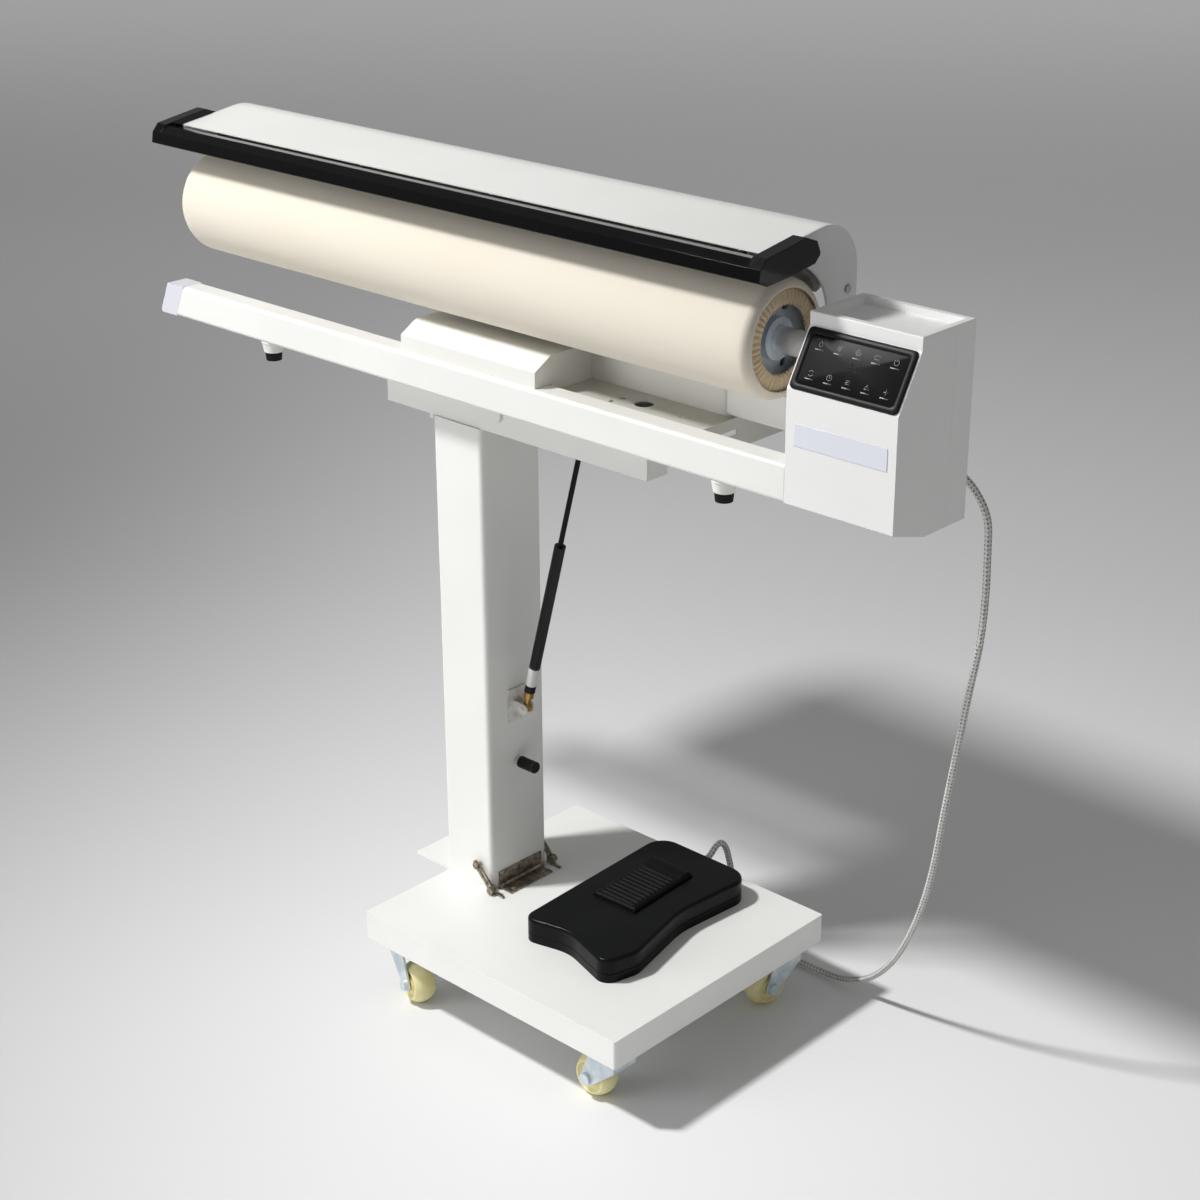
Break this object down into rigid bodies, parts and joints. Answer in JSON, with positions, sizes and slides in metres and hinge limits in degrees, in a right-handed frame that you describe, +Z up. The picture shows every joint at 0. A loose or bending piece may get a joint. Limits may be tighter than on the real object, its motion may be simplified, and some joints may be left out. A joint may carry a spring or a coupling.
{
  "type": "flatwork ironer",
  "caption": "Rotary flatwork ironer: padded roller under a hinged heated hood, control box, folding head on a column, wheeled base with pedal.",
  "frame": {"origin": "on the floor, under the middle of the machine's box without its cables", "axes": "+X along the roller towards the control box, -Y towards the person ironing, +Z up"},
  "size_m": [1.0816, 0.3905, 0.968],
  "materials": {
    "white_paint": "satin",
    "grey_paint": "satin",
    "box_paint": "fine texture",
    "white_plastic": "satin",
    "lavender_plastic": "satin",
    "zinc": "zinc plated",
    "cream_nylon": "satin",
    "dark_nickel": "polished",
    "black_plastic": "satin",
    "grey_plastic": "satin",
    "black_gloss": "gloss",
    "black_rubber": "matt",
    "spring_paint": "satin",
    "spring_steel": "bright",
    "cotton": "matt",
    "felt": "matt",
    "roller_steel": "zinc plated",
    "shaft_chrome": "polished",
    "shoe_aluminium": "polished",
    "element_steel": "dull",
    "gear_plastic": "satin",
    "pinion_steel": "ground",
    "motor_steel": "zinc plated",
    "circuit": "satin",
    "cable_braid": "braided"
  },
  "bodies": {
    "base": {"base_plate": "white_paint", "caster_mounts": "zinc", "foot_hinge_lower_leaf": "dark_nickel", "latch_brackets": "dark_nickel", "pedal_base": "black_plastic", "pedal_cover": "black_plastic", "pedal_spring": "spring_steel", "pedal_cable": "cable_braid", "cable_connector": "black_plastic", "box_cable_lower": "cable_braid"},
    "treadle": {"pedal_treadle": "black_plastic"},
    "latch_front": {"latch_front": "dark_nickel"},
    "latch_rear": {"latch_rear": "dark_nickel"},
    "column": {"column": "white_paint", "foot_hinge_upper_leaf": "dark_nickel", "latch_studs": "dark_nickel", "bumper": "black_rubber", "gas_spring_bracket": "zinc", "head_hinge_bracket": "zinc", "box_cable_upper": "cable_braid"},
    "spring_tube": {"gas_spring_tube": "spring_paint"},
    "spring_rod": {"gas_spring_rod": "spring_paint"},
    "head": {"saddle": "white_paint", "front_beam": "white_paint", "beam_end_cap": "lavender_plastic", "head_frame": "white_paint", "foot_cups": "white_plastic", "foot_pads": "black_rubber", "tray": "grey_paint", "front_cover": "white_plastic", "rear_housing": "white_plastic", "hood_pivot_arms": "zinc", "control_box": "box_paint", "control_box_rear_cover": "box_paint", "control_panel": "black_gloss", "circuit_board": "circuit", "drive_bracket": "zinc", "drive_motor": "motor_steel", "cable_gland": "grey_plastic"},
    "hood": {"hood_shell": "white_paint", "hood_ribs": "grey_paint", "hood_pivot_rod": "roller_steel", "shoe": "shoe_aluminium", "heating_element": "element_steel", "handle": "black_gloss"},
    "roller": {"roller_cover": "cotton", "roller_padding": "felt", "roller_core": "roller_steel", "roller_shaft": "shaft_chrome", "drive_gear": "gear_plastic"},
    "pinion": {"motor_pinion": "pinion_steel"},
    "brake_lever": {"caster_brake_lever": "zinc"},
    "fork_front_left": {"caster_fork_front_left": "zinc"},
    "wheel_front_left": {"caster_wheel_front_left": "cream_nylon"},
    "fork_front_right": {"caster_fork_front_right": "zinc"},
    "wheel_front_right": {"caster_wheel_front_right": "cream_nylon"},
    "fork_rear_left": {"caster_fork_rear_left": "zinc"},
    "wheel_rear_left": {"caster_wheel_rear_left": "cream_nylon"},
    "fork_rear_right": {"caster_fork_rear_right": "zinc"},
    "wheel_rear_right": {"caster_wheel_rear_right": "cream_nylon"}
  },
  "joints": [
    {"name": "caster_swivel_front_left", "type": "hinge", "parent": "base", "child": "fork_front_left", "pos_m": [-0.082, -0.1435, 0.065], "axis": [0, 0, 1], "continuous": true},
    {"name": "caster_roll_front_left", "type": "hinge", "parent": "fork_front_left", "child": "wheel_front_left", "pos_m": [-0.05917, -0.15092, 0.025], "axis": [0.309, 0.9511, 0], "continuous": true},
    {"name": "caster_swivel_front_right", "type": "hinge", "parent": "base", "child": "fork_front_right", "pos_m": [0.244, -0.1435, 0.065], "axis": [0, 0, 1], "continuous": true},
    {"name": "caster_roll_front_right", "type": "hinge", "parent": "fork_front_right", "child": "wheel_front_right", "pos_m": [0.22001, -0.14266, 0.025], "axis": [-0.0349, -0.9994, 0], "continuous": true},
    {"name": "caster_swivel_rear_left", "type": "hinge", "parent": "base", "child": "fork_rear_left", "pos_m": [-0.082, 0.1435, 0.065], "axis": [0, 0, 1], "continuous": true},
    {"name": "caster_roll_rear_left", "type": "hinge", "parent": "fork_rear_left", "child": "wheel_rear_left", "pos_m": [-0.06121, 0.1555, 0.025], "axis": [-0.5, 0.866, 0], "continuous": true},
    {"name": "caster_swivel_rear_right", "type": "hinge", "parent": "base", "child": "fork_rear_right", "pos_m": [0.244, 0.1435, 0.065], "axis": [0, 0, 1], "continuous": true},
    {"name": "caster_roll_rear_right", "type": "hinge", "parent": "fork_rear_right", "child": "wheel_rear_right", "pos_m": [0.23983, 0.11986, 0.025], "axis": [0.9848, -0.1736, 0], "continuous": true},
    {"name": "brake_press", "type": "hinge", "parent": "fork_front_right", "child": "brake_lever", "pos_m": [0.22801, -0.14294, 0.057], "axis": [-0.0349, -0.9994, 0], "range_deg": [0, 6]},
    {"name": "treadle_press", "type": "hinge", "parent": "base", "child": "treadle", "pos_m": [0.116, 0.098, 0.132], "axis": [1, 0, 0], "range_deg": [0, 4], "stiffness_Nm_per_rad": 28, "deforming": ["pedal_spring"]},
    {"name": "column_tilt", "type": "hinge", "parent": "base", "child": "column", "pos_m": [-0.037, 0, 0.111], "axis": [0, -1, 0], "range_deg": [-45, 0]},
    {"name": "latch_front_swing", "type": "hinge", "parent": "base", "child": "latch_front", "pos_m": [-0.036, -0.0509, 0.113], "axis": [0, -1, 0], "range_deg": [-90, 0]},
    {"name": "latch_rear_swing", "type": "hinge", "parent": "base", "child": "latch_rear", "pos_m": [-0.036, 0.0509, 0.113], "axis": [0, -1, 0], "range_deg": [-90, 0]},
    {"name": "head_fold", "type": "hinge", "parent": "column", "child": "head", "pos_m": [-0.017, 0, 0.704], "axis": [0, 1, 0], "range_deg": [0, 90]},
    {"name": "gas_spring_swing", "type": "hinge", "parent": "column", "child": "spring_tube", "pos_m": [-0.024, 0, 0.337], "axis": [0, 1, 0], "range_deg": [-13.6, 0]},
    {"name": "gas_spring_stroke", "type": "slide", "parent": "spring_tube", "child": "spring_rod", "axis": [0.258, 0, 0.9661], "range_m": [-0.104, 0]},
    {"name": "hood_close", "type": "hinge", "parent": "head", "child": "hood", "pos_m": [-0.057, 0.046, 0.899], "axis": [1, 0, 0], "range_deg": [0, 8]},
    {"name": "roller_spin", "type": "hinge", "parent": "head", "child": "roller", "pos_m": [-0.057, -0.04, 0.866], "axis": [1, 0, 0], "continuous": true},
    {"name": "motor_pinion_spin", "type": "hinge", "parent": "head", "child": "pinion", "pos_m": [0.433, -0.04, 0.841], "axis": [1, 0, 0], "continuous": true}
  ],
  "couplings": [
    {"joint": "latch_front_swing", "follows": "column_tilt", "ratio": 2},
    {"joint": "latch_rear_swing", "follows": "column_tilt", "ratio": 2},
    {"joint": "gas_spring_swing", "follows": "head_fold", "ratio": -0.14998},
    {"joint": "gas_spring_stroke", "follows": "head_fold", "m_per_rad": -0.066062},
    {"joint": "motor_pinion_spin", "follows": "roller_spin", "ratio": -4}
  ]
}
